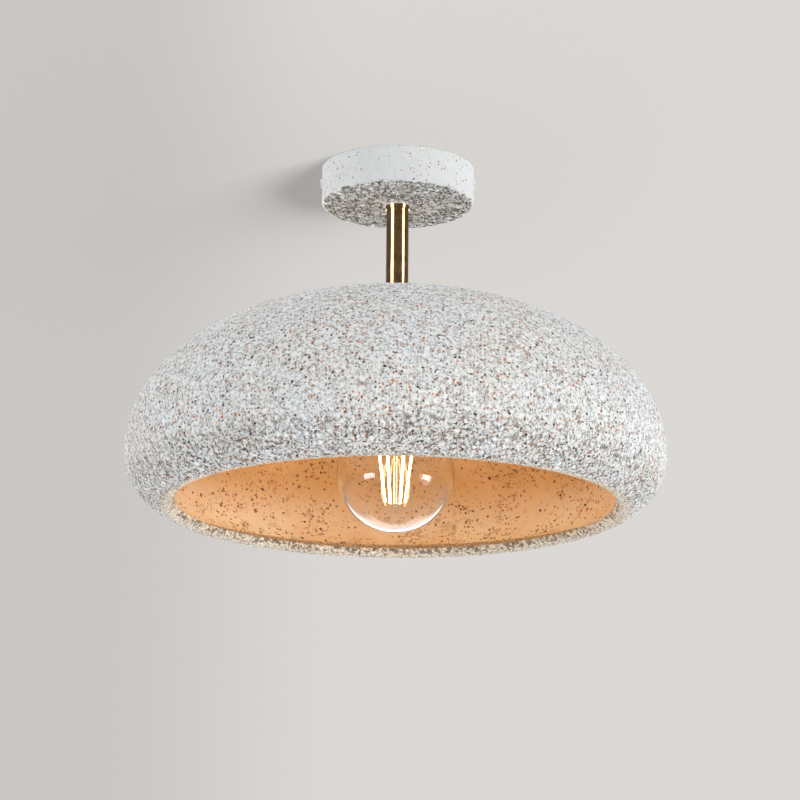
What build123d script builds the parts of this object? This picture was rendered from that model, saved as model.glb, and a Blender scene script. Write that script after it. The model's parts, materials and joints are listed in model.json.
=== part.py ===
from build123d import *
import os
from math import acos, degrees, radians, sqrt, tan

# Semi-flush ceiling light: a wide cast dome hangs from a round canopy on a short brass stem.
# Sizes are in millimetres. +Z is up, and z = 0 is the ceiling above the middle of the canopy.

# Fits
thread_gap = 0.05  # radial, between a thread or spigot and what it goes into
hole_gap = 0.3  # radial, round a rod or screw that only passes through
bulb_gap = 0.3  # radial, between the bulb's cap and the lampholder's shell
wire_gap = 0.4  # between the two wires inside the rod

# Canopy
canopy_radius = 62.5
canopy_height = 31.5
canopy_wall = 5.5
canopy_floor = 7.0
canopy_edge_round = 4.0
canopy_inner_round = 3.0

# Ceiling bracket, a steel strip with bent ends and a round middle
bracket_sheet = 1.5
bracket_width = 20.0
bracket_wall_gap = 1.5  # between its bent ends and the canopy's wall
bracket_bend = 3.0
bracket_tab_drop = 18.0
bracket_tab_round = 4.0
bracket_disc_radius = 29.0
cable_hole_radius = 8.0
slot_spacing = 80.0
slot_length = 18.0
slot_width = 5.0

# Side screws that hold the canopy to the bracket
side_screw_radius = 2.0
side_screw_length = 12.0
side_screw_drop = 12.0
side_screw_head_radius = 4.0
side_screw_head_height = 1.0
side_screw_head_round = 0.7
tab_boss_wall = 1.6
tab_boss_length = 2.0

# Terminal block under the bracket, one tower for each pole
pole_count = 3
pole_pitch = 9.0
pole_width = 7.6
pole_round = 1.0
block_depth = 15.0
block_web_depth = 7.0
block_height = 12.0
block_offset = 17.0  # from the middle of the canopy, along Y
block_bore_drop = 5.5
sleeve_radius = 2.4
sleeve_bore_radius = 1.5
sleeve_recess = 1.5
terminal_screw_radius = 1.4
terminal_screw_spacing = 7.0
terminal_screw_recess = 1.0
terminal_well_radius = 1.9
block_screw_radius = 1.25
block_screw_head_radius = 2.3
block_screw_head_height = 1.6
block_screw_recess = 0.6

# Earth terminal on the bracket
earth_x = 12.0
earth_y = -19.0
earth_screw_radius = 2.0
earth_screw_head_radius = 3.8
earth_screw_head_height = 2.4
earth_tag_radius = 4.2
earth_tag_sheet = 0.8
earth_barrel_radius = 1.5
earth_barrel_end = 10.0  # from the middle of the screw

# Threaded rod with its locknuts
rod_radius = 5.0
rod_bore_radius = 3.5
rod_past_nut = 1.5
nut_width = 14.0
nut_height = 4.0
washer_radius = 11.0
washer_thickness = 1.5

# Stem
stem_length = 83.0  # from the canopy to the shade, with its collar and foot
stem_radius = 9.1
stem_wall = 1.2
collar_radius = 10.0
collar_height = 3.0
foot_radius = 10.0
foot_height = 2.0
spigot_length = 6.0

# Shade
shade_radius = 217.5
crown_rise = 129.5  # from the widest ring up to where the crown would close
crown_power = 2.11  # 2 is an ellipse, and more is squarer
crown_steps = 6
band_radius = 46.0  # the round below the widest ring
shade_wall = 9.0
lip_radius = 9.0
mouth_radius = 176.0
outer_seat_radius = 16.0
inner_seat_radius = 34.0

# What clamps the shade
clamp_radius = 30.0
gasket_thickness = 1.5
clamp_plate_thickness = 2.5
holder_gap = 1.5  # between the shade's locknut and the lampholder

# Lampholder
holder_radius = 19.5
holder_cap_height = 21.0
holder_cap_wall = 1.2
holder_cap_top = 2.0
holder_cap_round = 6.0
holder_boss_wall = 2.5
holder_boss_length = 7.5
holder_collar_length = 6.0
holder_skirt_wall = 1.25
holder_skirt_drop = 39.0
holder_ledge_height = 2.0
holder_ledge_gap = 0.6
holder_body_top_drop = 20.0  # from the top of the cap to the top of the insulating body
holder_body_height = 9.0
holder_screw_shell_wall = 0.6
holder_screw_shell_length = 27.0
holder_screw_shell_hole = 9.0
post_radius = 2.6
post_height = 4.0
post_hole_depth = 3.0
post_spacing = 18.0
contact_drop = 3.0
contact_sheet = 0.5
contact_width = 5.0
contact_fixed_x = 7.0
contact_bend_x = 4.0
contact_pad_x = 1.2
contact_end_x = -3.0

# Wires
wire_radius = 1.0
wire_block_depth = 5.5  # how far a wire goes into the block
wire_block_clear = 3.5  # straight run in front of the block
wire_drop_above_rod = 6.5
wire_spread_drop = 2.0  # below the rod, where the two wires part
wire_spread_height = 4.0
earth_wire_clear = 5.0
bend_share = 0.45  # of the shorter run, which an arc takes up

# Bulb
globe_radius = 47.5
glass_wall = 1.0
neck_length = 5.5  # from the cap down to where the neck starts to widen
neck_radius = 15.5
neck_blend = 22.0
neck_shoulder = 5.0
neck_root_radius = 12.2
neck_root_depth = 7.0
cap_radius = 13.05
cap_sheet = 0.4
cap_length = 22.2
cap_round = 1.2
cap_hole_radius = 6.0
tip_radius = 4.7
tip_thickness = 1.2
tip_round = 0.4
insulator_height = 3.1
insulator_radius = 11.2
insulator_top_radius = 5.2

# Inside of the bulb
mount_inset = 2.0  # below the top of the glass
mount_rim_height = 1.5  # where the mount is sealed to the glass
mount_flare_length = 16.0
mount_stalk_radius = 3.6
mount_stalk_length = 12.0
pillar_radius = 1.3
filament_count = 6
filament_radius = 0.9
filament_top_rise = 29.5  # above the middle of the globe
filament_drop = 52.8  # from its upper end to its lower end
filament_top_spread = 14.8
filament_bottom_spread = 8.0
support_radius = 0.35
support_gap = 0.35  # between a support and the end of its filament
support_hub_radius = 2.4
support_hub_height = 1.6
support_hub_drop = 3.0  # from the filaments' lower ends to the middle of the hub

# Canopy and rod heights
canopy_inner_radius = canopy_radius - canopy_wall
canopy_floor_z = canopy_floor - canopy_height
rod_hole_radius = rod_radius + hole_gap
rod_thread_radius = rod_radius + thread_gap
canopy_washer_top = canopy_floor_z + washer_thickness
canopy_nut_top = canopy_washer_top + nut_height
rod_top = canopy_nut_top + rod_past_nut

# Shade heights. Its crown is a superellipse, cut flat where the stem's foot and the gasket sit.
band_centre_r = shade_radius - band_radius
outer_seat_z = -canopy_height - stem_length


def crown_height(radius, half_width, rise):
    """Height of the crown above the widest ring, at a radius."""
    return rise * (1 - (radius / half_width) ** crown_power) ** (1 / crown_power)


def crown_slope(radius, half_width, rise):
    """How fast that height changes with the radius."""
    share = radius / half_width
    steepness = (1 - share**crown_power) ** (1 / crown_power - 1)
    return -rise / half_width * share ** (crown_power - 1) * steepness


equator_z = outer_seat_z - crown_height(outer_seat_radius, shade_radius, crown_rise)
inner_half_width = shade_radius - shade_wall
inner_rise = crown_rise - shade_wall
inner_seat_z = equator_z + crown_height(inner_seat_radius, inner_half_width, inner_rise)

# Clamp and lampholder heights
gasket_bottom = inner_seat_z - gasket_thickness
clamp_plate_bottom = gasket_bottom - clamp_plate_thickness
shade_nut_bottom = clamp_plate_bottom - nut_height
holder_top = shade_nut_bottom - holder_gap
rod_bottom = holder_top - holder_boss_length
holder_cap_bottom = holder_top - holder_cap_height
holder_body_top = holder_top - holder_body_top_drop
holder_body_bottom = holder_body_top - holder_body_height
holder_skirt_bottom = holder_cap_bottom - holder_skirt_drop
holder_collar_radius = holder_radius - holder_cap_wall - thread_gap
holder_bore_radius = holder_collar_radius - holder_skirt_wall
screw_shell_radius = cap_radius + bulb_gap
screw_shell_outer = screw_shell_radius + holder_screw_shell_wall

# Bulb heights
tip_z = holder_body_bottom - contact_drop
cap_top = tip_z - tip_thickness - insulator_height
cap_bottom = cap_top - cap_length
glass_top = cap_bottom + neck_root_depth
blend_z = cap_bottom - neck_length
blend_height = sqrt((globe_radius + neck_blend) ** 2 - (neck_radius + neck_blend) ** 2)
blend_sweep = degrees(acos((neck_radius + neck_blend) / (globe_radius + neck_blend)))
globe_z = blend_z - blend_height
filament_top_z = globe_z + filament_top_rise
filament_bottom_z = filament_top_z - filament_drop
support_hub_z = filament_bottom_z - support_hub_drop
mount_top = glass_top - mount_inset
mount_radius = neck_root_radius - glass_wall - thread_gap
stalk_top = mount_top - mount_flare_length
stalk_bottom = stalk_top - mount_stalk_length

# Places on the bracket
block_top = -bracket_sheet
block_bottom = block_top - block_height
block_bore_z = block_top - block_bore_drop
block_front = block_offset - block_depth / 2
bracket_half_length = canopy_inner_radius - bracket_wall_gap
tab_inner_x = bracket_half_length - bracket_sheet


def flat_ring(outer_radius, inner_radius, top, thickness):
    """A washer, plate or tube whose top is at that height."""
    with BuildPart() as ring:
        with BuildSketch(Plane.XY.offset(top - thickness)):
            Circle(outer_radius)
            Circle(inner_radius, mode=Mode.SUBTRACT)
        extrude(amount=thickness)
    return ring


def hex_nut(top):
    """A thin locknut on the rod."""
    with BuildPart() as nut:
        with BuildSketch(Plane.XY.offset(top - nut_height)):
            RegularPolygon(radius=nut_width / 2, side_count=6, major_radius=False)
            Circle(rod_thread_radius, mode=Mode.SUBTRACT)
        extrude(amount=nut_height)
    return nut


def centring_ring(seat_z, flange_radius, flange_height, way):
    """Closes an end of the sleeve and centres it on the rod. way is the side the spigot points to."""
    with BuildPart() as ring:
        with BuildSketch(Plane.XZ):
            with BuildLine():
                Polyline(
                    (rod_hole_radius, seat_z),
                    (flange_radius, seat_z),
                    (flange_radius, seat_z + way * flange_height),
                    (stem_radius - stem_wall - thread_gap, seat_z + way * flange_height),
                    (
                        stem_radius - stem_wall - thread_gap,
                        seat_z + way * (flange_height + spigot_length),
                    ),
                    (rod_hole_radius, seat_z + way * (flange_height + spigot_length)),
                    close=True,
                )
            make_face()
        revolve(axis=Axis.Z)
    return ring


def wire(name, *points):
    """A round insulated wire along straight runs, with an arc at each corner as large as they allow."""
    corners = [Vector(*point) for point in points]
    bends = []
    for before, corner, after in zip(corners, corners[1:], corners[2:]):
        turn = (corner - before).get_angle(after - corner)
        run = min((corner - before).length, (after - corner).length)
        bends.append(bend_share * run / tan(radians(turn) / 2))
    print(name, "bend radii", [round(bend, 1) for bend in bends])
    with BuildPart() as strand:
        with BuildLine() as route:
            FilletPolyline(*corners, radius=bends)
        with BuildSketch(Plane(origin=route.line @ 0, z_dir=route.line % 0)):
            Circle(wire_radius)
        sweep(path=route.line)
    return strand


# Canopy: a cup that stands with its rim on the ceiling
with BuildPart() as canopy:
    with BuildSketch(Plane.XZ):
        with BuildLine():
            Polyline(
                (rod_hole_radius, canopy_floor_z),
                (canopy_inner_radius, canopy_floor_z),
                (canopy_inner_radius, 0),
                (canopy_radius, 0),
                (canopy_radius, -canopy_height),
                (rod_hole_radius, -canopy_height),
                close=True,
            )
        make_face()
    revolve(axis=Axis.Z)
    level_faces = canopy.faces().filter_by(Axis.Z).sort_by(Axis.Z)
    fillet(level_faces[0].outer_wire().edges(), canopy_edge_round)
    level_faces = canopy.faces().filter_by(Axis.Z).sort_by(Axis.Z)
    fillet(level_faces[1].outer_wire().edges(), canopy_inner_round)
    with BuildSketch(Plane.YZ):
        with Locations((0, -side_screw_drop)):
            Circle(side_screw_radius + hole_gap)
    extrude(amount=canopy_radius, both=True, mode=Mode.SUBTRACT)

# Ceiling bracket: bent strip, round middle and pressed screw bosses
with BuildPart() as ceiling_bracket:
    with BuildSketch(Plane.XZ):
        with BuildLine():
            FilletPolyline(
                (-bracket_half_length, -bracket_tab_drop),
                (-bracket_half_length, 0),
                (bracket_half_length, 0),
                (bracket_half_length, -bracket_tab_drop),
                (tab_inner_x, -bracket_tab_drop),
                (tab_inner_x, -bracket_sheet),
                (-tab_inner_x, -bracket_sheet),
                (-tab_inner_x, -bracket_tab_drop),
                radius=[
                    0,
                    bracket_bend,
                    bracket_bend,
                    0,
                    0,
                    bracket_bend - bracket_sheet,
                    bracket_bend - bracket_sheet,
                    0,
                ],
                close=True,
            )
        make_face()
    extrude(amount=bracket_width / 2, both=True)
    fillet(
        ceiling_bracket.edges().filter_by(Axis.X).group_by(Axis.Z)[0],
        bracket_tab_round,
    )
    with BuildSketch(Plane.XY.offset(-bracket_sheet)):
        Circle(bracket_disc_radius)
    extrude(amount=bracket_sheet)
    for side in (-1, 1):
        with BuildSketch(Plane.YZ.offset(side * tab_inner_x)):
            with Locations((0, -side_screw_drop)):
                Circle(side_screw_radius + tab_boss_wall)
        extrude(amount=-side * tab_boss_length)
    with BuildSketch(Plane.YZ):
        with Locations((0, -side_screw_drop)):
            Circle(side_screw_radius + thread_gap)
    extrude(amount=canopy_radius, both=True, mode=Mode.SUBTRACT)
    with BuildSketch(Plane.XY):
        Circle(cable_hole_radius)
        with GridLocations(slot_spacing, 0, 2, 1):
            SlotOverall(slot_length, slot_width)
        with Locations((earth_x, earth_y)):
            Circle(earth_screw_radius + thread_gap)
        with Locations((0, block_offset)):
            with GridLocations(pole_pitch, 0, pole_count - 1, 1):
                Circle(block_screw_radius + thread_gap)
    extrude(amount=-bracket_sheet, mode=Mode.SUBTRACT)

# Side screws, one on each side of the canopy
with BuildPart() as canopy_screws:
    with BuildSketch(Plane.XZ):
        with BuildLine():
            Polyline(
                (canopy_radius - side_screw_length, -side_screw_drop),
                (canopy_radius - side_screw_length, side_screw_radius - side_screw_drop),
                (canopy_radius, side_screw_radius - side_screw_drop),
                (canopy_radius, side_screw_head_radius - side_screw_drop),
                (canopy_radius + side_screw_head_height, side_screw_head_radius - side_screw_drop),
                (canopy_radius + side_screw_head_height, -side_screw_drop),
                close=True,
            )
        make_face()
    revolve(axis=Axis((0, 0, -side_screw_drop), (1, 0, 0)))
    fillet(canopy_screws.edges().sort_by(Axis.X)[-1], side_screw_head_round)
    mirror(about=Plane.YZ)

# Terminal block: a web with one tower for each pole, bored through for the sleeves
with BuildPart() as terminal_block:
    with BuildSketch(Plane.XY.offset(block_bottom)):
        with Locations((0, block_offset)):
            Rectangle((pole_count - 1) * pole_pitch + pole_width, block_web_depth)
            with GridLocations(pole_pitch, 0, pole_count, 1):
                RectangleRounded(pole_width, block_depth, pole_round)
    extrude(amount=block_height)
    with BuildSketch(Plane.XZ.offset(-block_front)):
        with Locations((0, block_bore_z)):
            with GridLocations(pole_pitch, 0, pole_count, 1):
                Circle(sleeve_radius + thread_gap)
    extrude(amount=-block_depth, mode=Mode.SUBTRACT)
    with BuildSketch(Plane.XY.offset(block_bottom)):
        with Locations((0, block_offset)):
            with GridLocations(pole_pitch, terminal_screw_spacing, pole_count, 2):
                Circle(terminal_well_radius)
    extrude(amount=block_bore_z - block_bottom, mode=Mode.SUBTRACT)
    with BuildSketch(Plane.XY.offset(block_bottom)):
        with Locations((0, block_offset)):
            with GridLocations(pole_pitch, 0, pole_count - 1, 1):
                Circle(block_screw_head_radius + hole_gap)
    extrude(amount=block_screw_head_height + block_screw_recess, mode=Mode.SUBTRACT)
    with BuildSketch(Plane.XY.offset(block_bottom)):
        with Locations((0, block_offset)):
            with GridLocations(pole_pitch, 0, pole_count - 1, 1):
                Circle(block_screw_radius + thread_gap)
    extrude(amount=block_height, mode=Mode.SUBTRACT)

# Brass sleeves in the block
with BuildPart() as terminal_sleeves:
    with BuildSketch(Plane.XZ.offset(-block_front - sleeve_recess)):
        with Locations((0, block_bore_z)):
            with GridLocations(pole_pitch, 0, pole_count, 1):
                Circle(sleeve_radius)
                Circle(sleeve_bore_radius, mode=Mode.SUBTRACT)
    extrude(amount=2 * sleeve_recess - block_depth)
    with BuildSketch(Plane.XY.offset(block_bottom)):
        with Locations((0, block_offset)):
            with GridLocations(pole_pitch, terminal_screw_spacing, pole_count, 2):
                Circle(terminal_screw_radius + thread_gap)
    extrude(amount=block_bore_z - block_bottom, mode=Mode.SUBTRACT)

# Screws that pinch the wires in the sleeves
terminal_screw_bottom = block_bottom + terminal_screw_recess
with BuildPart() as terminal_screws:
    with BuildSketch(Plane.XY.offset(terminal_screw_bottom)):
        with Locations((0, block_offset)):
            with GridLocations(pole_pitch, terminal_screw_spacing, pole_count, 2):
                Circle(terminal_screw_radius)
    extrude(amount=block_bore_z - wire_radius - terminal_screw_bottom)

# Screws that hold the block to the bracket
block_screw_bottom = block_bottom + block_screw_recess
with BuildPart() as block_screws:
    with BuildSketch(Plane.XY.offset(block_screw_bottom)):
        with Locations((0, block_offset)):
            with GridLocations(pole_pitch, 0, pole_count - 1, 1):
                Circle(block_screw_head_radius)
    extrude(amount=block_screw_head_height)
    with BuildSketch(Plane.XY.offset(block_screw_bottom)):
        with Locations((0, block_offset)):
            with GridLocations(pole_pitch, 0, pole_count - 1, 1):
                Circle(block_screw_radius)
    extrude(amount=-block_screw_bottom)

# Earth terminal: a ring tag with its barrel, and the screw through it
earth_tag_bottom = -bracket_sheet - earth_tag_sheet
earth_barrel_z = -bracket_sheet - earth_barrel_radius
with BuildPart() as earth_tag:
    with BuildSketch(Plane.XY.offset(earth_tag_bottom)):
        with Locations((earth_x, earth_y + earth_barrel_end / 2)):
            Rectangle(2 * earth_barrel_radius, earth_barrel_end)
        with Locations((earth_x, earth_y)):
            Circle(earth_tag_radius)
            Circle(earth_screw_radius + hole_gap, mode=Mode.SUBTRACT)
    extrude(amount=earth_tag_sheet)
    with BuildSketch(Plane.XZ.offset(-earth_y - earth_screw_head_radius - hole_gap)):
        with Locations((earth_x, earth_barrel_z)):
            Circle(earth_barrel_radius)
    extrude(amount=earth_screw_head_radius + hole_gap - earth_barrel_end)

with BuildPart() as earth_screw:
    with BuildSketch(Plane.XY.offset(earth_tag_bottom)):
        with Locations((earth_x, earth_y)):
            Circle(earth_screw_head_radius)
    extrude(amount=-earth_screw_head_height)
    with BuildSketch(Plane.XY.offset(earth_tag_bottom)):
        with Locations((earth_x, earth_y)):
            Circle(earth_screw_radius)
    extrude(amount=-earth_tag_bottom)

# Hollow threaded rod with what clamps it to the canopy
rod_washer = flat_ring(washer_radius, rod_hole_radius, canopy_washer_top, washer_thickness)
rod_locknut = hex_nut(canopy_nut_top)
threaded_rod = flat_ring(rod_radius, rod_bore_radius, rod_top, rod_top - rod_bottom)

# Stem: a brass sleeve over the rod between two centring rings
stem_collar = centring_ring(-canopy_height, collar_radius, collar_height, -1)
stem_foot = centring_ring(outer_seat_z, foot_radius, foot_height, 1)
stem_sleeve = flat_ring(
    stem_radius,
    stem_radius - stem_wall,
    -canopy_height - collar_height,
    stem_length - collar_height - foot_height,
)


def crown_points(first_radius, half_width, rise):
    """Points on the crown from a radius near the axis out to the widest ring."""
    points = []
    for step in range(crown_steps):
        share = 1 - (1 - step / crown_steps) ** 2
        radius = first_radius + (half_width - first_radius) * share
        points.append((radius, equator_z + crown_height(radius, half_width, rise)))
    return points + [(half_width, equator_z)]


# Shade: one cast shell. The crown falls to the widest ring, a round band turns it under, and the
# lip rolls round to the mouth. Inside, the wall springs from the back of the lip.
lip_centre_r = mouth_radius + lip_radius
lip_reach = band_radius - lip_radius
band_sweep = degrees(acos((lip_centre_r - band_centre_r) / lip_reach))
inner_band_radius = band_radius - shade_wall
lip_turn = degrees(
    acos(
        (inner_band_radius**2 - lip_radius**2 - lip_reach**2)
        / (2 * lip_radius * lip_reach)
    )
)
outer_crown = crown_points(outer_seat_radius, shade_radius, crown_rise)
inner_crown = crown_points(inner_seat_radius, inner_half_width, inner_rise)
outer_start_slope = crown_slope(outer_seat_radius, shade_radius, crown_rise)
inner_end_slope = crown_slope(inner_seat_radius, inner_half_width, inner_rise)
with BuildPart() as shade:
    with BuildSketch(Plane.XZ):
        with BuildLine():
            crown = Spline(*outer_crown, tangents=[(1, outer_start_slope), (0, -1)])
            band = JernArc(crown @ 1, (0, -1), band_radius, -band_sweep)
            lip = JernArc(band @ 1, band % 1, lip_radius, -lip_turn)
            inner_band = ThreePointArc(
                lip @ 1,
                (
                    band_centre_r + inner_band_radius / sqrt(2),
                    equator_z - inner_band_radius / sqrt(2),
                ),
                (inner_half_width, equator_z),
            )
            Spline(*reversed(inner_crown), tangents=[(0, 1), (-1, -inner_end_slope)])
            Polyline(
                inner_crown[0],
                (rod_hole_radius, inner_seat_z),
                (rod_hole_radius, outer_seat_z),
                outer_crown[0],
            )
        make_face()
    revolve(axis=Axis.Z)

# Clamp under the shade's crown
shade_gasket = flat_ring(clamp_radius, rod_hole_radius, inner_seat_z, gasket_thickness)
shade_clamp_plate = flat_ring(clamp_radius, rod_hole_radius, gasket_bottom, clamp_plate_thickness)
shade_locknut = hex_nut(clamp_plate_bottom)

# Lampholder cap: a brass dome with a threaded boss for the rod
with BuildPart() as lampholder_cap:
    with BuildSketch(Plane.XZ):
        with BuildLine():
            FilletPolyline(
                (0, holder_top),
                (holder_radius, holder_top),
                (holder_radius, holder_cap_bottom),
                (0, holder_cap_bottom),
                radius=[0, holder_cap_round, 0, 0],
                close=True,
            )
        make_face()
        with BuildLine():
            FilletPolyline(
                (0, holder_top - holder_cap_top),
                (holder_radius - holder_cap_wall, holder_top - holder_cap_top),
                (holder_radius - holder_cap_wall, holder_cap_bottom),
                (0, holder_cap_bottom),
                radius=[0, holder_cap_round - holder_cap_wall, 0, 0],
                close=True,
            )
        make_face(mode=Mode.SUBTRACT)
    revolve(axis=Axis.Z)
    with BuildSketch(Plane.XY.offset(holder_top)):
        Circle(rod_thread_radius + holder_boss_wall)
    extrude(amount=-holder_boss_length)
    with BuildSketch(Plane.XY.offset(holder_top)):
        Circle(rod_thread_radius)
    extrude(amount=-holder_boss_length, mode=Mode.SUBTRACT)

# Lampholder skirt: its collar screws into the cap, and a ledge inside carries the body
with BuildPart() as lampholder_skirt:
    with BuildSketch(Plane.XZ):
        with BuildLine():
            Polyline(
                (holder_bore_radius, holder_cap_bottom + holder_collar_length),
                (holder_collar_radius, holder_cap_bottom + holder_collar_length),
                (holder_collar_radius, holder_cap_bottom),
                (holder_radius, holder_cap_bottom),
                (holder_radius, holder_skirt_bottom),
                (holder_bore_radius, holder_skirt_bottom),
                (holder_bore_radius, holder_body_bottom - holder_ledge_height),
                (screw_shell_outer + holder_ledge_gap, holder_body_bottom - holder_ledge_height),
                (screw_shell_outer + holder_ledge_gap, holder_body_bottom),
                (holder_bore_radius, holder_body_bottom),
                close=True,
            )
        make_face()
    revolve(axis=Axis.Z)

# Insulating body with holes for its posts
with BuildPart() as lampholder_body:
    with BuildSketch(Plane.XY.offset(holder_body_bottom)):
        Circle(holder_bore_radius - thread_gap)
        with GridLocations(post_spacing, 0, 2, 1):
            Circle(post_radius + thread_gap, mode=Mode.SUBTRACT)
    extrude(amount=holder_body_height)

# Brass posts, open at the top for the wires
with BuildPart() as lampholder_posts:
    with BuildSketch(Plane.XY.offset(holder_body_bottom + holder_screw_shell_wall)):
        with GridLocations(post_spacing, 0, 2, 1):
            Circle(post_radius)
    extrude(amount=holder_body_height - holder_screw_shell_wall + post_height)
    with BuildSketch(Plane.XY.offset(holder_body_top + post_height)):
        with GridLocations(post_spacing, 0, 2, 1):
            Circle(wire_radius + thread_gap)
    extrude(amount=-post_hole_depth, mode=Mode.SUBTRACT)

# Screw shell that takes the bulb's cap
with BuildPart() as lampholder_shell:
    with BuildSketch(Plane.XZ):
        with BuildLine():
            Polyline(
                (holder_screw_shell_hole, holder_body_bottom),
                (screw_shell_outer, holder_body_bottom),
                (screw_shell_outer, holder_body_bottom - holder_screw_shell_length),
                (screw_shell_radius, holder_body_bottom - holder_screw_shell_length),
                (screw_shell_radius, holder_body_bottom - holder_screw_shell_wall),
                (holder_screw_shell_hole, holder_body_bottom - holder_screw_shell_wall),
                close=True,
            )
        make_face()
    revolve(axis=Axis.Z)

# Centre contact: a bronze leaf that springs down on the bulb's tip
with BuildPart() as lampholder_contact:
    with BuildSketch(Plane.XZ):
        with BuildLine():
            Polyline(
                (contact_fixed_x, holder_body_bottom),
                (contact_fixed_x, holder_body_bottom - contact_sheet),
                (contact_bend_x, holder_body_bottom - contact_sheet),
                (contact_pad_x, tip_z),
                (contact_end_x, tip_z),
                (contact_end_x, tip_z + contact_sheet),
                (contact_pad_x, tip_z + contact_sheet),
                (contact_bend_x, holder_body_bottom),
                close=True,
            )
        make_face()
    extrude(amount=contact_width / 2, both=True)

# Wires from the block down the rod to the lampholder, and from the block to the earth tag
wire_x = wire_radius + wire_gap / 2
block_wire_end = block_front + wire_block_depth
block_wire_bend = block_front - wire_block_clear
rod_wire_bend = rod_top + wire_drop_above_rod
spread_top = rod_bottom - wire_spread_drop
spread_bottom = spread_top - wire_spread_height
post_wire_end = holder_body_top + post_height - post_hole_depth
live_wire = wire(
    "live_wire",
    (-pole_pitch, block_wire_end, block_bore_z),
    (-pole_pitch, block_wire_bend, block_bore_z),
    (-wire_x, 0, rod_wire_bend),
    (-wire_x, 0, spread_top),
    (-post_spacing / 2, 0, spread_bottom),
    (-post_spacing / 2, 0, post_wire_end),
)
neutral_wire = wire(
    "neutral_wire",
    (0, block_wire_end, block_bore_z),
    (0, block_wire_bend, block_bore_z),
    (wire_x, 0, rod_wire_bend),
    (wire_x, 0, spread_top),
    (post_spacing / 2, 0, spread_bottom),
    (post_spacing / 2, 0, post_wire_end),
)
earth_wire_end = earth_y + earth_barrel_end
earth_wire = wire(
    "earth_wire",
    (pole_pitch, block_wire_end, block_bore_z),
    (pole_pitch, block_front - earth_wire_clear, block_bore_z),
    (earth_x, earth_wire_end + earth_wire_clear, earth_barrel_z),
    (earth_x, earth_wire_end, earth_barrel_z),
)

# Bulb: tip contact, black insulator and screw cap
with BuildPart() as bulb_tip_contact:
    with BuildSketch(Plane.XY.offset(tip_z - tip_thickness)):
        Circle(tip_radius)
    extrude(amount=tip_thickness)
    fillet(bulb_tip_contact.faces().sort_by(Axis.Z)[-1].edges(), tip_round)

with BuildPart() as bulb_insulator:
    with BuildSketch(Plane.XY.offset(cap_top)):
        Circle(insulator_radius)
    with BuildSketch(Plane.XY.offset(cap_top + insulator_height)):
        Circle(insulator_top_radius)
    loft()

with BuildPart() as bulb_screw_cap:
    with BuildSketch(Plane.XZ):
        with BuildLine():
            FilletPolyline(
                (cap_hole_radius, cap_top),
                (cap_radius, cap_top),
                (cap_radius, cap_bottom),
                (cap_radius - cap_sheet, cap_bottom),
                (cap_radius - cap_sheet, cap_top - cap_sheet),
                (cap_hole_radius, cap_top - cap_sheet),
                radius=[0, cap_round, 0, 0, cap_round - cap_sheet, 0],
                close=True,
            )
        make_face()
    revolve(axis=Axis.Z)


def globe_outline(inset):
    """Half outline of the glass, a distance inside its outer face: neck, shoulder, blend and globe."""
    root_radius = neck_root_radius - inset
    shoulder_centre_r = neck_radius - neck_shoulder
    shoulder_radius = neck_shoulder - inset
    shoulder_angle = degrees(acos((root_radius - shoulder_centre_r) / shoulder_radius))
    shoulder = CenterArc(
        (shoulder_centre_r, blend_z), shoulder_radius, shoulder_angle, -shoulder_angle
    )
    blend = JernArc(shoulder @ 1, (0, -1), neck_blend + inset, blend_sweep)
    globe = JernArc(blend @ 1, blend % 1, globe_radius - inset, -blend_sweep - 90)
    Polyline(globe @ 1, (0, glass_top), (root_radius, glass_top), shoulder @ 0)


# Glass globe, open at its neck
with BuildPart() as bulb_glass:
    with BuildSketch(Plane.XZ):
        with BuildLine():
            globe_outline(0)
        make_face()
        with BuildLine():
            globe_outline(glass_wall)
        make_face(mode=Mode.SUBTRACT)
    revolve(axis=Axis.Z)

# Glass mount: a flare in the neck, a stalk, and a thin pillar down to the lower supports
with BuildPart() as bulb_glass_mount:
    with BuildSketch(Plane.XZ):
        with BuildLine():
            Polyline(
                (0, mount_top),
                (mount_radius, mount_top),
                (mount_radius, mount_top - mount_rim_height),
                (mount_stalk_radius, stalk_top),
                (mount_stalk_radius, stalk_bottom),
                (pillar_radius, stalk_bottom),
                (pillar_radius, support_hub_z + support_hub_height / 2),
                (0, support_hub_z + support_hub_height / 2),
                close=True,
            )
        make_face()
    revolve(axis=Axis.Z)


def round_bar(start, end, radius):
    """A straight round bar between two points, joined to the part being made."""
    with BuildSketch(Plane(origin=start, z_dir=end - start)) as section:
        Circle(radius)
    extrude(section.sketch, amount=(end - start).length)


# Filaments: straight sticks that lean in towards their lower ends
filament_angles = [360 * stick / filament_count for stick in range(filament_count)]
filament_top = Vector(filament_top_spread, 0, filament_top_z)
filament_bottom = Vector(filament_bottom_spread, 0, filament_bottom_z)
with BuildPart() as bulb_filaments:
    for angle in filament_angles:
        round_bar(
            filament_top.rotate(Axis.Z, angle),
            filament_bottom.rotate(Axis.Z, angle),
            filament_radius,
        )

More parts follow.
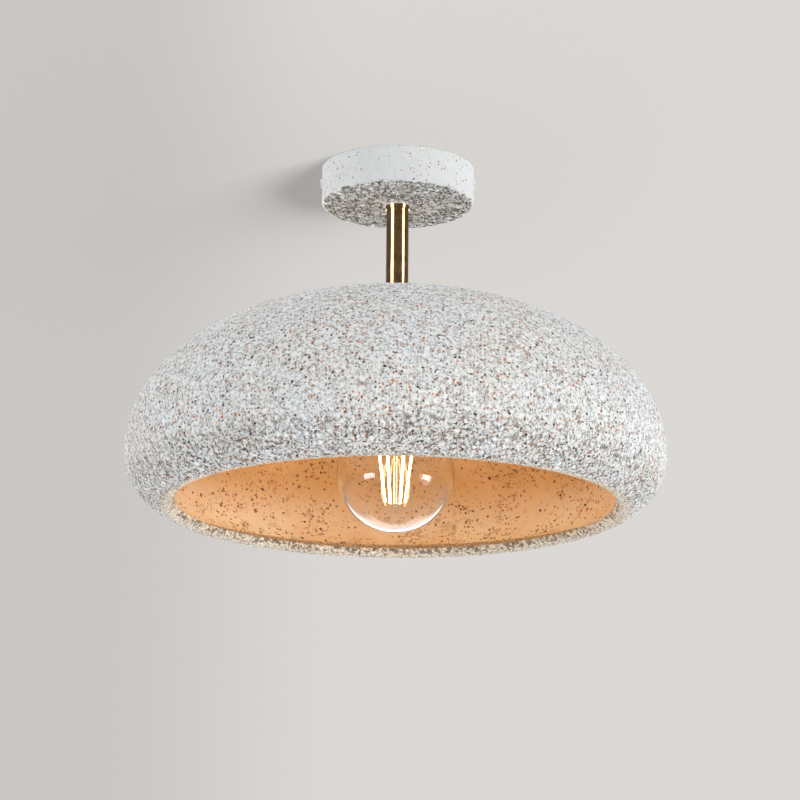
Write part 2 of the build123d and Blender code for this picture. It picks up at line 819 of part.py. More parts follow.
# Support wires: a ring round the pillar with a leg to each upper end, and a hub for the lower ends
lean = (filament_top - filament_bottom).normalized()
with BuildPart() as bulb_supports:
    with BuildSketch(Plane.XY.offset(support_hub_z - support_hub_height / 2)):
        Circle(support_hub_radius)
    extrude(amount=support_hub_height)
    with BuildSketch(Plane.XY.offset(stalk_bottom - support_hub_height)):
        Circle(support_hub_radius)
        Circle(pillar_radius + thread_gap, mode=Mode.SUBTRACT)
    extrude(amount=support_hub_height)
    leg_start_r = (support_hub_radius + pillar_radius) / 2
    for angle in filament_angles:
        for height, end in (
            (support_hub_z, filament_bottom - lean * support_gap),
            (stalk_bottom - support_hub_height / 2, filament_top + lean * support_gap),
        ):
            round_bar(
                Vector(leg_start_r, 0, height).rotate(Axis.Z, angle),
                end.rotate(Axis.Z, angle),
                support_radius,
            )

pieces = {
    "canopy": canopy,
    "ceiling_bracket": ceiling_bracket,
    "canopy_screws": canopy_screws,
    "terminal_block": terminal_block,
    "terminal_sleeves": terminal_sleeves,
    "terminal_screws": terminal_screws,
    "block_screws": block_screws,
    "earth_tag": earth_tag,
    "earth_screw": earth_screw,
    "rod_washer": rod_washer,
    "rod_locknut": rod_locknut,
    "threaded_rod": threaded_rod,
    "stem_collar": stem_collar,
    "stem_sleeve": stem_sleeve,
    "stem_foot": stem_foot,
    "shade": shade,
    "shade_gasket": shade_gasket,
    "shade_clamp_plate": shade_clamp_plate,
    "shade_locknut": shade_locknut,
    "lampholder_cap": lampholder_cap,
    "lampholder_skirt": lampholder_skirt,
    "lampholder_body": lampholder_body,
    "lampholder_posts": lampholder_posts,
    "lampholder_shell": lampholder_shell,
    "lampholder_contact": lampholder_contact,
    "live_wire": live_wire,
    "neutral_wire": neutral_wire,
    "earth_wire": earth_wire,
    "bulb_tip_contact": bulb_tip_contact,
    "bulb_insulator": bulb_insulator,
    "bulb_screw_cap": bulb_screw_cap,
    "bulb_glass": bulb_glass,
    "bulb_glass_mount": bulb_glass_mount,
    "bulb_filaments": bulb_filaments,
    "bulb_supports": bulb_supports,
}
print("bulb length", round(tip_z - globe_z + globe_radius, 1))
print("overall height", round(globe_radius - globe_z, 1))
os.makedirs("parts", exist_ok=True)
for name, piece in pieces.items():
    piece.part.label = name
    export_step(piece.part, f"parts/{name}.step")
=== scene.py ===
import json
from math import acos, asin, degrees, pi, radians, sqrt

import bpy
import numpy as np
from mathutils import Matrix, Vector


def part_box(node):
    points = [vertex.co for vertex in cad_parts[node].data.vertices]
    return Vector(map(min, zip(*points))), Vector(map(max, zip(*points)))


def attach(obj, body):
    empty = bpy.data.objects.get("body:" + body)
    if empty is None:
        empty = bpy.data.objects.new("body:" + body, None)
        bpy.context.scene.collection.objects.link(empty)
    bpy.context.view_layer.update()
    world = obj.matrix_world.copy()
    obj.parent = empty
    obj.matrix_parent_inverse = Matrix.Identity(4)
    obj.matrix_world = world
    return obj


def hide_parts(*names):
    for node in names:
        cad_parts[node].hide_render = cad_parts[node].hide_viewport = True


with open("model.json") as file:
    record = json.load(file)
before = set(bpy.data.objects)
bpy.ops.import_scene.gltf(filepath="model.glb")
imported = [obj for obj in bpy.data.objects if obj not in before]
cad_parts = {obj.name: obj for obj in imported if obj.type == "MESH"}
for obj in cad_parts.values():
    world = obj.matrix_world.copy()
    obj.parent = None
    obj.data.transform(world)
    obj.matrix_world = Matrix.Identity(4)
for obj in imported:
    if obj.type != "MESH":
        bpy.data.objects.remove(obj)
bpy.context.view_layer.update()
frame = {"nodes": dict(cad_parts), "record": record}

# Ceiling light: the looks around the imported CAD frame. Sizes are in metres, z = 0 is the ceiling.

mm = 0.001

# Shade, as in the CAD
shade_radius = 217.5 * mm
crown_rise = 129.5 * mm
crown_power = 2.11
band_radius = 46 * mm
shade_wall = 9 * mm
lip_radius = 9 * mm
mouth_radius = 176 * mm
outer_seat_radius = 16 * mm
inner_seat_radius = 34 * mm
rod_hole_radius = 5.3 * mm
outer_seat_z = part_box("shade")[1].z

# Canopy, as in the CAD
canopy_radius = 62.5 * mm
canopy_height = -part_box("canopy")[0].z
canopy_wall = 5.5 * mm
canopy_floor = 7 * mm
canopy_edge_round = 4 * mm
canopy_inner_round = 3 * mm

# Bulb glass, as in the CAD
globe_radius = 47.5 * mm
glass_wall = 1 * mm
neck_radius = 15.5 * mm
neck_blend = 22 * mm
neck_shoulder = 5 * mm
neck_root_radius = 12.2 * mm
glass_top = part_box("bulb_glass")[1].z
globe_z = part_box("bulb_glass")[0].z + globe_radius

# Cast surfaces: how far apart the points of the meshes lie
stone_pitch = 1.1 * mm  # crown and band of the shade
lip_pitch = 0.8 * mm
fine_pitch = 0.7 * mm  # canopy
smooth_pitch = 3 * mm  # inner faces
glass_pitch = 0.8 * mm
base_columns = 20  # round the axis, doubled where the rings are wider

inward_stone = 19 * mm  # how far the stone skin runs on into the bowl
outward_sand = 4  # how many rings of the lip outside its lowest one are sandy


# Noise on arrays of points


def scramble(x, y, z, seed):
    """A number from 0 to 1 for each whole-numbered cell, by 32-bit hashing."""
    value = (
        x.astype(np.uint32) * np.uint32(374761393)
        + y.astype(np.uint32) * np.uint32(668265263)
        + z.astype(np.uint32) * np.uint32(2246822519)
        + np.uint32(seed * 3266489917 % 2**32)
    )
    value = (value ^ (value >> np.uint32(13))) * np.uint32(1274126177)
    value = (value ^ (value >> np.uint32(16))) * np.uint32(2654435761)
    value = value ^ (value >> np.uint32(15))
    return value.astype(np.float64) / 2**32


def soft_noise(points, size, seed):
    """Smooth noise from -1 to 1, with bumps about that size."""
    scaled = points / size
    cell = np.floor(scaled).astype(np.int64)
    part = scaled - cell
    part = part * part * (3 - 2 * part)
    total = np.zeros(len(points))
    for dx in (0, 1):
        for dy in (0, 1):
            for dz in (0, 1):
                weight = (
                    np.where(dx, part[:, 0], 1 - part[:, 0])
                    * np.where(dy, part[:, 1], 1 - part[:, 1])
                    * np.where(dz, part[:, 2], 1 - part[:, 2])
                )
                corner = scramble(cell[:, 0] + dx, cell[:, 1] + dy, cell[:, 2] + dz, seed)
                total += weight * corner
    return 2 * total - 1


def layered_noise(points, size, seed, layers=3):
    """Soft noise with finer and weaker layers added."""
    total = np.zeros(len(points))
    for layer in range(layers):
        total += soft_noise(points, size / 2**layer, seed + layer) / 2**layer
    return total / (2 - 2.0 ** (1 - layers))


def cell_noise(points, size, seed):
    """Distances to the nearest and the second nearest of scattered centres, in cell sizes."""
    scaled = points / size
    cell = np.floor(scaled).astype(np.int64)
    part = scaled - cell
    nearest = np.full(len(points), np.inf)
    second = np.full(len(points), np.inf)
    for dx in (-1, 0, 1):
        for dy in (-1, 0, 1):
            for dz in (-1, 0, 1):
                x, y, z = cell[:, 0] + dx, cell[:, 1] + dy, cell[:, 2] + dz
                gap = (dx + scramble(x, y, z, seed) - part[:, 0]) ** 2
                gap += (dy + scramble(x, y, z, seed + 1) - part[:, 1]) ** 2
                gap += (dz + scramble(x, y, z, seed + 2) - part[:, 2]) ** 2
                second = np.minimum(second, np.maximum(nearest, gap))
                nearest = np.minimum(nearest, gap)
    return np.sqrt(nearest), np.sqrt(second)


def smooth_step(value, low, high):
    """From 0 at low to 1 at high, eased."""
    share = np.clip((value - low) / (high - low), 0, 1)
    return share * share * (3 - 2 * share)


# Outlines of turned pieces: arrays of (radius, height) points


def walk(points, pitch):
    """The same line with evenly spaced points, both ends kept."""
    points = np.array(points, float)
    steps = np.hypot(*np.diff(points, axis=0).T)
    along = np.concatenate([[0], np.cumsum(steps)])
    count = max(1, int(np.ceil(along[-1] / pitch)))
    even = np.linspace(0, along[-1], count + 1)
    return np.c_[np.interp(even, along, points[:, 0]), np.interp(even, along, points[:, 1])]


def arc(centre, radius, start, end, pitch):
    """An arc from one angle to another, in degrees from the outward direction."""
    count = max(2, int(np.ceil(abs(radians(end - start)) * radius / pitch)))
    angles = np.radians(np.linspace(start, end, count + 1))
    return np.c_[centre[0] + radius * np.cos(angles), centre[1] + radius * np.sin(angles)]


def crown(half_width, rise, base_z, start_radius, pitch):
    """The shade's superellipse from a radius near the axis out to its widest ring."""
    share = np.linspace(asin(start_radius / half_width), pi / 2, 2000)
    radius = half_width * np.sin(share)
    height = rise * np.maximum(0, 1 - (radius / half_width) ** crown_power) ** (1 / crown_power)
    return walk(np.c_[radius, base_z + height], pitch)


def turned(name, zones):
    """A mesh turned round Z from a closed line of zones: (points, material number, relief function).

    A relief function takes the points in space and gives how far each sinks below the outline,
    how deep in a crevice it is and how coarse the face is there, both from 0 to 1. Where the
    outline comes near the axis, the rings have fewer points.
    """
    outline, numbers, reliefs = [], [], []
    for points, number, relief in zones:
        first = 1 if outline and np.allclose(outline[-1], points[0], atol=1e-7) else 0
        for point in points[first:]:
            outline.append(point)
            numbers.append(number)
            reliefs.append(relief)
    outline = np.array(outline[:-1])
    numbers, reliefs = numbers[:-1], reliefs[:-1]
    ahead = np.roll(outline, -1, 0) - outline
    behind = outline - np.roll(outline, 1, 0)
    spacing = np.minimum(np.hypot(*ahead.T), np.hypot(*behind.T))
    ahead /= np.hypot(*ahead.T)[:, None]
    behind /= np.hypot(*behind.T)[:, None]
    tangent = ahead + behind
    tangent /= np.maximum(1e-9, np.hypot(*tangent.T))[:, None]
    normal = np.c_[-tangent[:, 1], tangent[:, 0]]

    # Points on each ring: base_columns doubled level times, one level at most from ring to ring
    wanted = 2 * pi * outline[:, 0] / np.maximum(spacing, 0.5 * mm)
    level = np.clip(np.ceil(np.log2(np.maximum(wanted, 1) / base_columns) - 0.2), 1, 6).astype(int)
    for _ in range(8):
        above = np.maximum(np.roll(level, 1), np.roll(level, -1)) - 1
        level = np.maximum(level, above)
    counts = base_columns * 2**level
    starts = np.concatenate([[0], np.cumsum(counts)])

    ring = np.repeat(np.arange(len(outline)), counts)
    column = np.arange(starts[-1]) - starts[ring]
    angle = 2 * pi * column / counts[ring]
    turn = np.c_[np.cos(angle), np.sin(angle)]
    place = np.c_[outline[ring, 0, None] * turn, outline[ring, 1]]
    outward = np.c_[normal[ring, 0, None] * turn, normal[ring, 1]]
    sink = np.zeros(len(place))
    depth = np.zeros(len(place))
    coarse = np.zeros(len(place))
    for relief in {id(r): r for r in reliefs if r}.values():
        chosen = np.isin(ring, [k for k, r in enumerate(reliefs) if r is relief])
        sink[chosen], depth[chosen], coarse[chosen] = relief(place[chosen])
    place = place - outward * sink[:, None]

    corners, sizes, slots = [], [], []
    for k in range(len(outline)):
        after = (k + 1) % len(outline)
        n, m = counts[k], counts[after]
        i = np.arange(min(n, m))
        j = (i + 1) % min(n, m)
        a, b = starts[k], starts[after]
        mid, end = 2 * i + 1, 2 * j
        if n == m:
            faces = [np.c_[a + i, b + i, b + j, a + j]]
        elif m == 2 * n:
            faces = [
                np.c_[a + i, b + 2 * i, b + mid],
                np.c_[a + i, b + mid, a + j],
                np.c_[a + j, b + mid, b + end],
            ]
        else:
            faces = [
                np.c_[a + 2 * i, b + i, a + mid],
                np.c_[a + mid, b + i, b + j],
                np.c_[a + mid, b + j, a + end],
            ]
        for face in faces:
            corners.append(face.ravel())
            sizes.append(np.full(len(face), face.shape[1]))
            slots.append(np.full(len(face), numbers[after]))
    corners, sizes, slots = map(np.concatenate, (corners, sizes, slots))
    mesh = bpy.data.meshes.new(name)
    mesh.vertices.add(len(place))
    mesh.vertices.foreach_set("co", place.astype(np.float32).ravel())
    mesh.loops.add(len(corners))
    mesh.loops.foreach_set("vertex_index", corners.astype(np.int32))
    mesh.polygons.add(len(sizes))
    mesh.polygons.foreach_set("loop_start", (np.cumsum(sizes) - sizes).astype(np.int32))
    mesh.polygons.foreach_set("material_index", slots.astype(np.int32))
    mesh.update(calc_edges=True)
    mesh.validate()
    mesh.shade_smooth()
    for label, values in (("crevice", depth), ("coarse", coarse)):
        attribute = mesh.attributes.new(label, "FLOAT", "POINT")
        attribute.data.foreach_set("value", values.astype(np.float32))
    piece = bpy.data.objects.new(name, mesh)
    bpy.context.scene.collection.objects.link(piece)
    return piece


# Materials


def new_material(name):
    material = bpy.data.materials.new(name)
    material.use_nodes = True
    material.node_tree.nodes.clear()
    return material, material.node_tree


def add(tree, kind, inputs=None, **settings):
    """A shader node with its settings, and its inputs as values or as sockets to link."""
    node = tree.nodes.new("ShaderNode" + kind)
    for name, value in settings.items():
        setattr(node, name, value)
    for name, value in (inputs or {}).items():
        socket = node.inputs[name]
        if isinstance(value, bpy.types.NodeSocket):
            tree.links.new(value, socket)
        else:
            socket.default_value = value
    return node


def maths(tree, operation, *values):
    return add(tree, "Math", dict(enumerate(values)), operation=operation).outputs[0]


def stretch(tree, value, low, high, to_low=0.0, to_high=1.0):
    """The value taken from one range to another, eased and kept in it."""
    inputs = {"Value": value, "From Min": low, "From Max": high, "To Min": to_low, "To Max": to_high}
    return add(tree, "MapRange", inputs, interpolation_type="SMOOTHSTEP").outputs[0]


def blended(tree, factor, first, second):
    """One colour going over into another."""
    node = add(tree, "Mix", {"Factor": factor, "A": first, "B": second}, data_type="RGBA")
    return node.outputs["Result"]


def srgb(red, green, blue):
    """A colour written as it looks on screen, 0 to 255, as the shader wants it."""
    linear = []
    for level in (red, green, blue):
        level /= 255
        linear.append(level / 12.92 if level <= 0.04045 else ((level + 0.055) / 1.055) ** 2.4)
    return (*linear, 1.0)


def object_place(tree):
    return add(tree, "TexCoord").outputs["Object"]


def noise(tree, place, size, detail=2.0, roughness=0.5, stretched=None):
    """Noise from 0 to 1 with features about that size."""
    if stretched:
        place = add(tree, "Mapping", {"Vector": place, "Scale": stretched}).outputs[0]
    inputs = {"Vector": place, "Scale": 1 / size, "Detail": detail, "Roughness": roughness}
    return add(tree, "TexNoise", inputs).outputs[0]


def picked(tree, value, *stops):
    """One of the colours of (position, colour) stops, without steps between them."""
    node = add(tree, "ValToRGB", {"Fac": value})
    node.color_ramp.interpolation = "CONSTANT"
    while len(node.color_ramp.elements) < len(stops):
        node.color_ramp.elements.new(0.5)
    for element, (position, colour) in zip(node.color_ramp.elements, stops):
        element.position = position
        element.color = colour
    return node.outputs["Color"]


def finish_material(tree, colour, roughness, bump=None, **fixed):
    """The shader at the end of a material. fixed holds the sockets that stay one number."""
    shader = add(tree, "BsdfPrincipled")
    for name, value in fixed.items():
        shader.inputs[name.replace("_", " ")].default_value = value
    for name, value in (("Base Color", colour), ("Roughness", roughness), ("Normal", bump)):
        if isinstance(value, bpy.types.NodeSocket):
            tree.links.new(value, shader.inputs[name])
        elif value is not None:
            shader.inputs[name].default_value = value
    output = add(tree, "OutputMaterial")
    tree.links.new(shader.outputs[0], output.inputs["Surface"])


def bumped(tree, height, depth, strength=1.0):
    inputs = {"Height": height, "Distance": depth, "Strength": strength}
    return add(tree, "Bump", inputs).outputs[0]


def swayed(tree, place, size):
    """The place pushed to and fro, so that what is drawn there gets uneven edges of that size."""
    push = add(tree, "TexNoise", {"Vector": place, "Scale": 1.6 / size, "Detail": 1.0}).outputs["Color"]
    push = add(tree, "VectorMath", {0: push, 1: (0.5, 0.5, 0.5)}, operation="SUBTRACT").outputs[0]
    push = add(tree, "VectorMath", {0: push, "Scale": 1.5 * size}, operation="SCALE").outputs[0]
    return add(tree, "VectorMath", {0: place, 1: push}, operation="ADD").outputs[0]


def specks(tree, place, colour, spacing, size, share, stops, gather=None):
    """Small chips over a colour: their spacing and size, and the share of places that has one.

    gather is a socket that makes the share larger or smaller from place to place.
    """
    cells = add(tree, "TexVoronoi", {"Vector": swayed(tree, place, size), "Scale": 1 / spacing})
    chance = add(tree, "SeparateColor", {"Color": cells.outputs["Color"]})
    small, more = 0.25 * size / spacing, 0.5 * size / spacing
    reach = maths(tree, "MULTIPLY_ADD", chance.outputs[2], more, small)
    inside = maths(tree, "SUBTRACT", reach, cells.outputs["Distance"])
    mask = stretch(tree, inside, 0.0, 0.06)
    limit = share if gather is None else maths(tree, "MULTIPLY", gather, share)
    present = maths(tree, "LESS_THAN", chance.outputs[0], limit)
    chips = picked(tree, chance.outputs[1], *stops)
    return blended(tree, maths(tree, "MULTIPLY", mask, present), colour, chips)


# Colours of the chips
rust_stops = [
    (0.0, srgb(196, 118, 58)),
    (0.3, srgb(150, 92, 54)),
    (0.6, srgb(122, 90, 68)),
    (0.85, srgb(210, 146, 88)),
]
dark_stops = [(0.0, srgb(24, 21, 21)), (0.6, srgb(66, 50, 42)), (0.85, srgb(12, 11, 12))]
sand_stops = [(0.0, srgb(150, 134, 120)), (0.5, srgb(112, 94, 80)), (0.8, srgb(178, 158, 140))]
inside_stops = [
    (0.0, srgb(150, 82, 44)),
    (0.3, srgb(96, 58, 38)),
    (0.5, srgb(196, 118, 66)),
    (0.8, srgb(44, 30, 24)),
]

# Chips of the stone: colours, spacing, size as a share of chip_size, share of places, and where
# the pattern is taken from, so that the three kinds don't lie on each other
stone_chips = [
    (sand_stops, 2.6 * mm, 0.8, 0.4, (0.0, 0.0, 0.0)),
    (rust_stops, 2.5 * mm, 1.0, 0.46, (0.31, 0.17, 0.43)),
    (dark_stops, 3.1 * mm, 1.0, 0.34, (0.57, 0.71, 0.13)),
]
# Chips of the painted inside: spacing, size, share and place of the pattern
inside_chips = [
    (2.7 * mm, 1.6 * mm, 0.46, (0.0, 0.0, 0.0)),
    (5.0 * mm, 2.3 * mm, 0.3, (0.21, 0.37, 0.13)),
]
# Painted shade in the bowl: the inside is pale low down by the mouth and brown higher up
bowl_low, bowl_high = -0.282, -0.215  # heights between which the inside goes from pale to brown


def attribute_of(tree, name):
    return add(tree, "Attribute", attribute_name=name).outputs["Fac"]


def moved(tree, place, *by):
    if not any(by):
        return place
    return add(tree, "VectorMath", {0: place, 1: by}, operation="ADD").outputs[0]


def stone_material(
    name, pale, warm, smooth, pit_and_shade, grain_size, depth, whole=0.6, chips=1.0, chip_size=1.6 * mm
):
    """Crumbly cast stone: pale grains, dark gaps between them, and sand, rust and dark chips.

    The mesh's coarse attribute says how crumbly each place is, from 0 to 1; smooth is the colour
    where it is 0. depth is that of the gaps, and whole is how much of them runs unbroken. The dark
    gaps between grains and the mesh's crevices take the pit_and_shade colour: painted shade in the
    hollows, with the brown of the stone's pits. chips and chip_size say how many chips there are
    and how large.
    """
    material, tree = new_material(name)
    place = object_place(tree)
    coarse = attribute_of(tree, "coarse")
    bent = swayed(tree, place, 0.6 * grain_size)
    grains = {"Vector": bent, "Scale": 1 / grain_size}
    rim = add(tree, "TexVoronoi", grains, feature="DISTANCE_TO_EDGE").outputs["Distance"]
    thin = stretch(tree, rim, 0.025, 0.105, 1.0, 0.0)
    broken = noise(tree, place, 0.55 * grain_size, 1)
    broken = stretch(tree, broken, 0.62 - 0.3 * whole, 0.7 - 0.3 * whole)
    gap = maths(tree, "MULTIPLY", thin, broken)
    crack = stretch(tree, attribute_of(tree, "crevice"), 0.62, 1.0)
    hollow = maths(tree, "MULTIPLY", maths(tree, "MAXIMUM", gap, crack), coarse)
    fine = noise(tree, place, 1.4 * mm, 2, 0.6)

    patches = noise(tree, place, 55 * mm, 3)
    colour = blended(tree, stretch(tree, patches, 0.3, 0.7), pale, warm)
    colour = blended(tree, stretch(tree, coarse, 0.1, 0.5), smooth, colour)
    mottle = maths(tree, "MULTIPLY", stretch(tree, fine, 0.45, 0.7, 0.0, 0.5), coarse)
    colour = blended(tree, mottle, colour, srgb(186, 180, 174))
    # Painted shade in the gaps between grains and in the crevices, stronger where the face is coarser
    colour = blended(tree, hollow, colour, pit_and_shade)
    for stops, spacing, size, share, pattern in stone_chips:
        where = moved(tree, place, *pattern)
        colour = specks(tree, where, colour, spacing, size * chip_size, share * chips, stops)

    height = maths(tree, "ADD", maths(tree, "MULTIPLY", fine, 0.5), stretch(tree, rim, 0.0, 0.3))
    strength = stretch(tree, coarse, 0.0, 1.0, 0.12, 1.0)
    bump = bumped(tree, height, depth, strength)
    finish_material(tree, colour, 0.86, bump, Specular_IOR_Level=0.25)
    return material


def inside_material():
    """Smooth painted inside of the shade, warm, with scattered and gathered brown chips."""
    material, tree = new_material("shade_inside")
    place = object_place(tree)
    height = add(tree, "SeparateXYZ", {0: place}).outputs[2]
    # Painted shade: pale low down by the mouth, browner higher up in the bowl
    painted_bowl_shade = stretch(tree, height, bowl_low, bowl_high)
    colour = blended(tree, painted_bowl_shade, srgb(254, 248, 230), srgb(202, 156, 98))
    patches = noise(tree, place, 45 * mm, 3)
    warmth = stretch(tree, patches, 0.35, 0.7, 0.0, 0.35)
    colour = blended(tree, warmth, colour, srgb(226, 180, 134))
    gather = stretch(tree, noise(tree, place, 34 * mm, 2), 0.38, 0.62, 0.4, 1.9)
    smudge = stretch(tree, noise(tree, place, 6 * mm, 2), 0.54, 0.66, 0.0, 0.24)
    colour = blended(tree, maths(tree, "MULTIPLY", smudge, gather), colour, srgb(170, 116, 76))
    for spacing, size, share, pattern in inside_chips:
        where = moved(tree, place, *pattern)
        colour = specks(tree, where, colour, spacing, size, share, inside_stops, gather)
    swell = noise(tree, place, 9 * mm, 2)
    finish_material(tree, colour, 0.6, bumped(tree, swell, 0.4 * mm, 0.5), Specular_IOR_Level=0.3)
    return material


def metal_material(name, colour, worn, roughness, brush=(1, 1, 1)):
    """Metal with cloudy tarnish and uneven gloss; brush draws its grain out along an axis."""
    material, tree = new_material(name)
    place = object_place(tree)
    cloud = noise(tree, place, 9 * mm, 4, 0.6)
    mixed = blended(tree, stretch(tree, cloud, 0.35, 0.75), colour, worn)
    grain = noise(tree, place, 0.6 * mm, 2, 0.6, brush)
    gloss = stretch(tree, grain, 0.3, 0.7, 0.8 * roughness, 1.25 * roughness)
    finish_material(tree, mixed, gloss, bumped(tree, grain, 0.02 * mm, 0.4), Metallic=1.0)
    return material


def moulded_material(name, colour, roughness):
    """Plastic, rubber or glaze with a slight mottle and a fine skin."""
    material, tree = new_material(name)
    place = object_place(tree)
    cloud = noise(tree, place, 6 * mm, 3)
    darker = tuple(0.93 * level for level in colour[:3]) + (1.0,)
    mottled = blended(tree, cloud, colour, darker)
    skin = noise(tree, place, 0.5 * mm, 2)
    gloss = stretch(tree, skin, 0.3, 0.7, 0.85 * roughness, 1.2 * roughness)
    finish_material(tree, mottled, gloss, bumped(tree, skin, 0.05 * mm, 0.3))
    return material


def glass_material():
    """Clear blown glass with a faint unevenness."""
    material, tree = new_material("clear_glass")
    place = object_place(tree)
    wave = noise(tree, place, 14 * mm, 2)
    gloss = stretch(tree, wave, 0.0, 1.0, 0.0, 0.015)
    bump = bumped(tree, wave, 0.15 * mm, 0.3)
    finish_material(tree, (1.0, 1.0, 1.0, 1.0), gloss, bump, Transmission_Weight=1.0, IOR=1.46)
    return material


def filament_material():
    """Glowing phosphor over a thin stick."""
    material, tree = new_material("filament")
    place = object_place(tree)
    band = noise(tree, place, 2.5 * mm, 1)
    glow = blended(tree, band, (1.0, 0.66, 0.3, 1.0), (1.0, 0.74, 0.38, 1.0))
    finish_material(tree, srgb(255, 214, 120), 0.5, None, Emission_Strength=13.0)
    shader = tree.nodes["Principled BSDF"]
    tree.links.new(glow, shader.inputs["Emission Color"])
    return material


chalk = srgb(245, 248, 249)
# The lip's stone is beige beside the chalk outside: painted warm bounce light and shade on the
# turned-under lip, over its finer sandy grain
sand = srgb(247, 237, 221)
outside_stone = stone_material(
    "stone_coarse", chalk, srgb(243, 242, 238), chalk, srgb(116, 100, 88), 5.2 * mm, 1.5 * mm
)
lip_stone = stone_material(
    "stone_lip", sand, srgb(238, 225, 205), sand, srgb(118, 112, 104), 3.4 * mm, 1 * mm, whole=0.5
)
canopy_stone = stone_material(
    "stone_canopy",
    chalk,
    srgb(246, 242, 234),
    # grey for the nearly smooth side, darker than the grains underneath: painted shade that keeps the
    # side from looking brighter than the underside
    srgb(214, 215, 215),
    srgb(98, 82, 64),
    7.6 * mm,
    2.8 * mm,
    whole=0.9,
    chips=0.46,
    chip_size=1.25 * mm,
)
shade_inside = inside_material()
finishes = {
    "zinc_steel": metal_material("zinc_steel", srgb(188, 190, 192), srgb(150, 150, 150), 0.34),
    "painted_screw": moulded_material("painted_screw", srgb(226, 226, 222), 0.55),
    "block_plastic": moulded_material("block_plastic", srgb(232, 231, 224), 0.42),
    "plain_brass": metal_material("plain_brass", srgb(214, 176, 104), srgb(170, 130, 72), 0.3),
    "aged_brass": metal_material(
        "aged_brass", srgb(178, 138, 92), srgb(140, 104, 64), 0.13, brush=(1, 1, 0.05)
    ),
    "gasket_rubber": moulded_material("gasket_rubber", srgb(38, 38, 38), 0.8),
    "black_plastic": moulded_material("black_plastic", srgb(36, 34, 33), 0.38),
    "white_ceramic": moulded_material("white_ceramic", srgb(236, 233, 224), 0.16),
    "brown_wire": moulded_material("brown_wire", srgb(112, 66, 38), 0.4),
    "blue_wire": moulded_material("blue_wire", srgb(48, 100, 176), 0.4),
    "green_wire": moulded_material("green_wire", srgb(96, 152, 60), 0.4),
    "black_glass": moulded_material("black_glass", srgb(24, 22, 24), 0.12),
    "nickel_cap": metal_material("nickel_cap", srgb(206, 202, 192), srgb(168, 162, 150), 0.26),
    "clear_glass": glass_material(),
    "filament": filament_material(),
}
for part in frame["record"]["subparts"]:
    finish = finishes.get(part["material_slot"])
    if finish:
        mesh = frame["nodes"][part["node"]].data
        mesh.materials.clear()
        mesh.materials.append(finish)


# Cast relief: how far each point sinks, and how deep it lies in a crevice
shade_lump, shade_depth = 4.4 * mm, 1.0 * mm  # size of the lumps, and how deep the crevices go
lip_lump, lip_depth = 2.4 * mm, 0.8 * mm
canopy_lump, canopy_depth = 4.8 * mm, 1.9 * mm
bore_edge = (10 * mm, 13 * mm)  # round the stem, where the canopy's underside becomes smooth


def crumble(place, lump, deep, seed):
    """Lumps with crevices between them and smaller grains on top, no deeper than deep."""
    bent = place + 0.9 * mm * np.c_[
        soft_noise(place, 2.6 * mm, seed + 40),
        soft_noise(place, 2.6 * mm, seed + 41),
        soft_noise(place, 2.6 * mm, seed + 42),
    ]
    near, second = cell_noise(bent, lump, seed)
    crack = 1 - smooth_step(second - near, 0.0, 0.4)
    dome = np.clip(near, 0, 1) ** 2
    grain = 0.5 + 0.5 * layered_noise(place, 1.9 * mm, seed + 7)
    hollow = np.clip((0.5 * crack + 0.35 * dome + 0.35 * grain) / 1.2, 0, 1)
    return deep * hollow, np.clip((hollow - 0.2) / 0.6, 0, 1)


def shade_relief(place):
    """Crumbly all over, and rougher on the lower half of the band."""
    sink, crevice = crumble(place, shade_lump, shade_depth, 11)
    low = 1 - smooth_step(place[:, 2], equator_z - 34 * mm, equator_z - 8 * mm)
    # coarse also scales the painted shade in the gaps, so the lower band comes out darker
    return sink * (0.75 + 0.5 * low), crevice, 0.62 + 0.38 * low


def lip_relief(place):
    """Sandy grains, with a dark stippled line of painted shade along the mouth's edge and over it."""
    sink, crevice = crumble(place, lip_lump, lip_depth, 31)
    radius = np.hypot(place[:, 0], place[:, 1])
    under = smooth_step(radius, mouth_radius + 2.5 * mm, mouth_radius + 6.0 * mm)
    edge = np.where(place[:, 2] > mouth[1] + 0.4 * mm, 0.55, under)
    # Painted shade: a dark stipple along the mouth's edge and on the stone that runs into the bowl
    stippled_shade = smooth_step(soft_noise(place, 2 * mm, 77), -0.45, 0.35)
    return sink * (0.25 + 0.75 * edge), np.maximum(crevice, (1 - edge) * stippled_shade), 0.9 + 0 * sink


def inside_relief(place):
    """Smooth, with a slight swell from the mould."""
    swell = 0.5 + 0.5 * layered_noise(place, 30 * mm, 51)
    return 0.25 * mm * swell, 0 * swell, 0 * swell


def canopy_relief(place):
    """Nearly smooth round the side, crumbly underneath, with an uneven border between them."""
    radius = np.hypot(place[:, 0], place[:, 1])
    low = -canopy_height + canopy_edge_round
    border = low - 3.0 * mm + 1.8 * mm * layered_noise(place, 7 * mm, 61)
    under = 1 - smooth_step(place[:, 2], border - 0.5 * mm, border + 1.4 * mm)
    coarse, crevice = crumble(place, canopy_lump, canopy_depth, 71)
    ripple = 0.5 + 0.5 * layered_noise(place, 8 * mm, 81)
    fade = smooth_step(-place[:, 2], 0.0, 2 * mm)
    centre = smooth_step(radius, *bore_edge)
    sink = under * coarse * centre + (1 - under) * 0.3 * mm * ripple
    return sink * fade, crevice * under * centre, np.clip(0.06 + under * centre, 0, 1)


